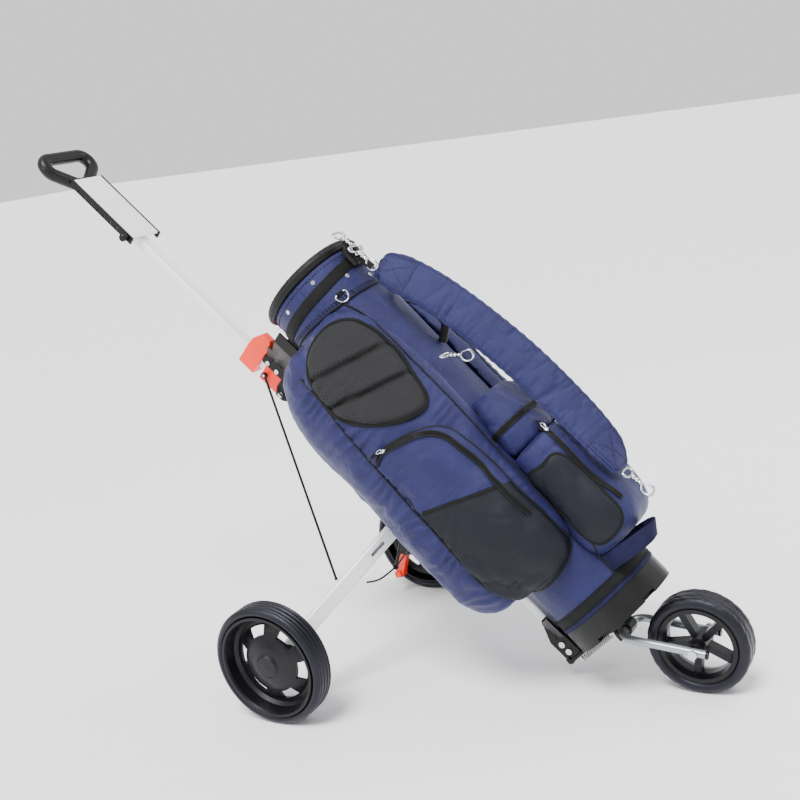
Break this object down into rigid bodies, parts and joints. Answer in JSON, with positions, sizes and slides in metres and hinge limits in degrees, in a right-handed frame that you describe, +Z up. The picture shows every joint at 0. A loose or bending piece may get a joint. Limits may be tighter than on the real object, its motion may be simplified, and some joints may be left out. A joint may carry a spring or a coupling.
{
  "type": "golf bag on push cart",
  "caption": "Padded golf bag strapped to a folding three-wheeled push cart with a D-handle, swing-in rear legs, a sprung front fork and a foot brake.",
  "frame": {"origin": "bottom centre of the whole cart, on the ground", "axes": "+X forward towards the front wheel, +Y to the left, +Z up"},
  "size_m": [1.4069, 0.663, 1.095],
  "materials": {
    "silver_tube": "satin white-silver paint",
    "fork_silver": "satin silver paint",
    "console_white": "gloss white",
    "black_metal": "black powder coat",
    "black_plastic": "matte moulded plastic",
    "wheel_plastic": "satin moulded plastic",
    "tyre": "matte rubber with a light sheen",
    "signal_orange": "satin orange-red plastic",
    "chrome": "polished",
    "navy_nylon": "coated nylon with a soft sheen",
    "black_fabric": "knitted and woven polyester",
    "black_rubber": "matte rubber"
  },
  "bodies": {
    "frame": {"spine_tube": "silver_tube", "upper_cradle": "black_metal", "hinge_pins": "chrome", "leg_bracket": "black_metal", "lower_bracket": "black_metal", "fork_hinge": "black_metal", "fork_spring": "black_metal", "frame_screws": "chrome", "bag_shell": "navy_nylon", "base_moulding": "black_plastic", "collar_band": "navy_nylon", "collar_rivets": "chrome", "bag_rim": "black_fabric", "club_dividers": "black_fabric", "bag_stays": "chrome", "side_pocket_left": "navy_nylon", "side_pocket_right": "navy_nylon", "mesh_pad": "black_fabric", "zip_pocket": "navy_nylon", "lower_front_pocket": "navy_nylon", "upper_front_pocket": "navy_nylon", "shoulder_strap": "navy_nylon", "carry_handle": "black_rubber", "bottom_loop": "navy_nylon", "tie_strap": "black_fabric", "tie_buckle": "black_plastic", "bag_rings": "chrome", "snap_hooks": "chrome"},
    "handle": {"handle_tube": "silver_tube", "handle_grip": "black_plastic", "console_plate": "console_white", "console_rails": "black_plastic", "fold_casting": "signal_orange", "rod_pins": "chrome"},
    "lock": {"lock_collar": "signal_orange"},
    "leg_left": {"leg_tube_left": "silver_tube", "leg_fittings_left": "black_plastic", "axle_left": "chrome", "brake_bracket": "black_metal", "brake_cable_left": "black_plastic"},
    "leg_right": {"leg_tube_right": "silver_tube", "leg_fittings_right": "black_plastic", "axle_right": "chrome", "brake_cable_right": "black_plastic"},
    "rod_left": {"tension_rod_left": "black_metal"},
    "rod_right": {"tension_rod_right": "black_metal"},
    "wheel_left": {"main_tyre_left": "tyre", "main_rim_left": "wheel_plastic", "hub_parts_left": "black_plastic"},
    "wheel_right": {"main_tyre_right": "tyre", "main_rim_right": "wheel_plastic", "hub_parts_right": "black_plastic"},
    "brake": {"brake_lever": "signal_orange"},
    "fork": {"fork_tube": "fork_silver", "fork_plugs": "black_plastic", "front_axle": "chrome"},
    "wheel_front": {"front_tyre": "tyre", "front_rim": "wheel_plastic", "front_bushes": "black_plastic"}
  },
  "joints": [
    {"name": "handle_fold", "type": "hinge", "parent": "frame", "child": "handle", "pos_m": [-0.2006, 0, 0.55759], "axis": [0, -1, 0], "range_deg": [0, 120]},
    {"name": "lock_slide", "type": "slide", "parent": "handle", "child": "lock", "axis": [-0.7071, 0, 0.7071], "range_m": [0, 0.03]},
    {"name": "leg_left_fold", "type": "hinge", "parent": "frame", "child": "leg_left", "pos_m": [0.04265, 0, 0.30162], "axis": [0, -1, 0], "range_deg": [0, 51], "deforming": ["brake_cable_left"]},
    {"name": "leg_right_fold", "type": "hinge", "parent": "frame", "child": "leg_right", "pos_m": [0.04265, 0, 0.30162], "axis": [0, -1, 0], "range_deg": [0, 51], "deforming": ["brake_cable_right"]},
    {"name": "rod_left_pivot", "type": "hinge", "parent": "handle", "child": "rod_left", "pos_m": [-0.231, 0, 0.59931], "axis": [0, 1, 0], "range_deg": [0, 107]},
    {"name": "rod_right_pivot", "type": "hinge", "parent": "handle", "child": "rod_right", "pos_m": [-0.231, 0, 0.59931], "axis": [0, 1, 0], "range_deg": [0, 107]},
    {"name": "wheel_left_spin", "type": "hinge", "parent": "leg_left", "child": "wheel_left", "pos_m": [-0.10879, 0.307, 0.1175], "axis": [0, 1, 0], "continuous": true},
    {"name": "wheel_right_spin", "type": "hinge", "parent": "leg_right", "child": "wheel_right", "pos_m": [-0.10879, -0.307, 0.1175], "axis": [0, 1, 0], "continuous": true},
    {"name": "brake_pedal", "type": "hinge", "parent": "leg_left", "child": "brake", "pos_m": [-0.13879, 0.262, 0.11], "axis": [0, -1, 0], "range_deg": [0, 20]},
    {"name": "fork_fold", "type": "hinge", "parent": "frame", "child": "fork", "pos_m": [0.47721, 0, 0.106], "axis": [0, 1, 0], "range_deg": [0, 85], "deforming": ["fork_spring"]},
    {"name": "wheel_front_spin", "type": "hinge", "parent": "fork", "child": "wheel_front", "pos_m": [0.61221, 0, 0.092], "axis": [0, 1, 0], "continuous": true}
  ],
  "couplings": [
    {"joint": "leg_left_fold", "follows": "handle_fold", "ratio": 0.41667},
    {"joint": "leg_right_fold", "follows": "handle_fold", "ratio": 0.41667},
    {"joint": "rod_left_pivot", "follows": "handle_fold", "ratio": 0.88333},
    {"joint": "rod_right_pivot", "follows": "handle_fold", "ratio": 0.88333}
  ]
}
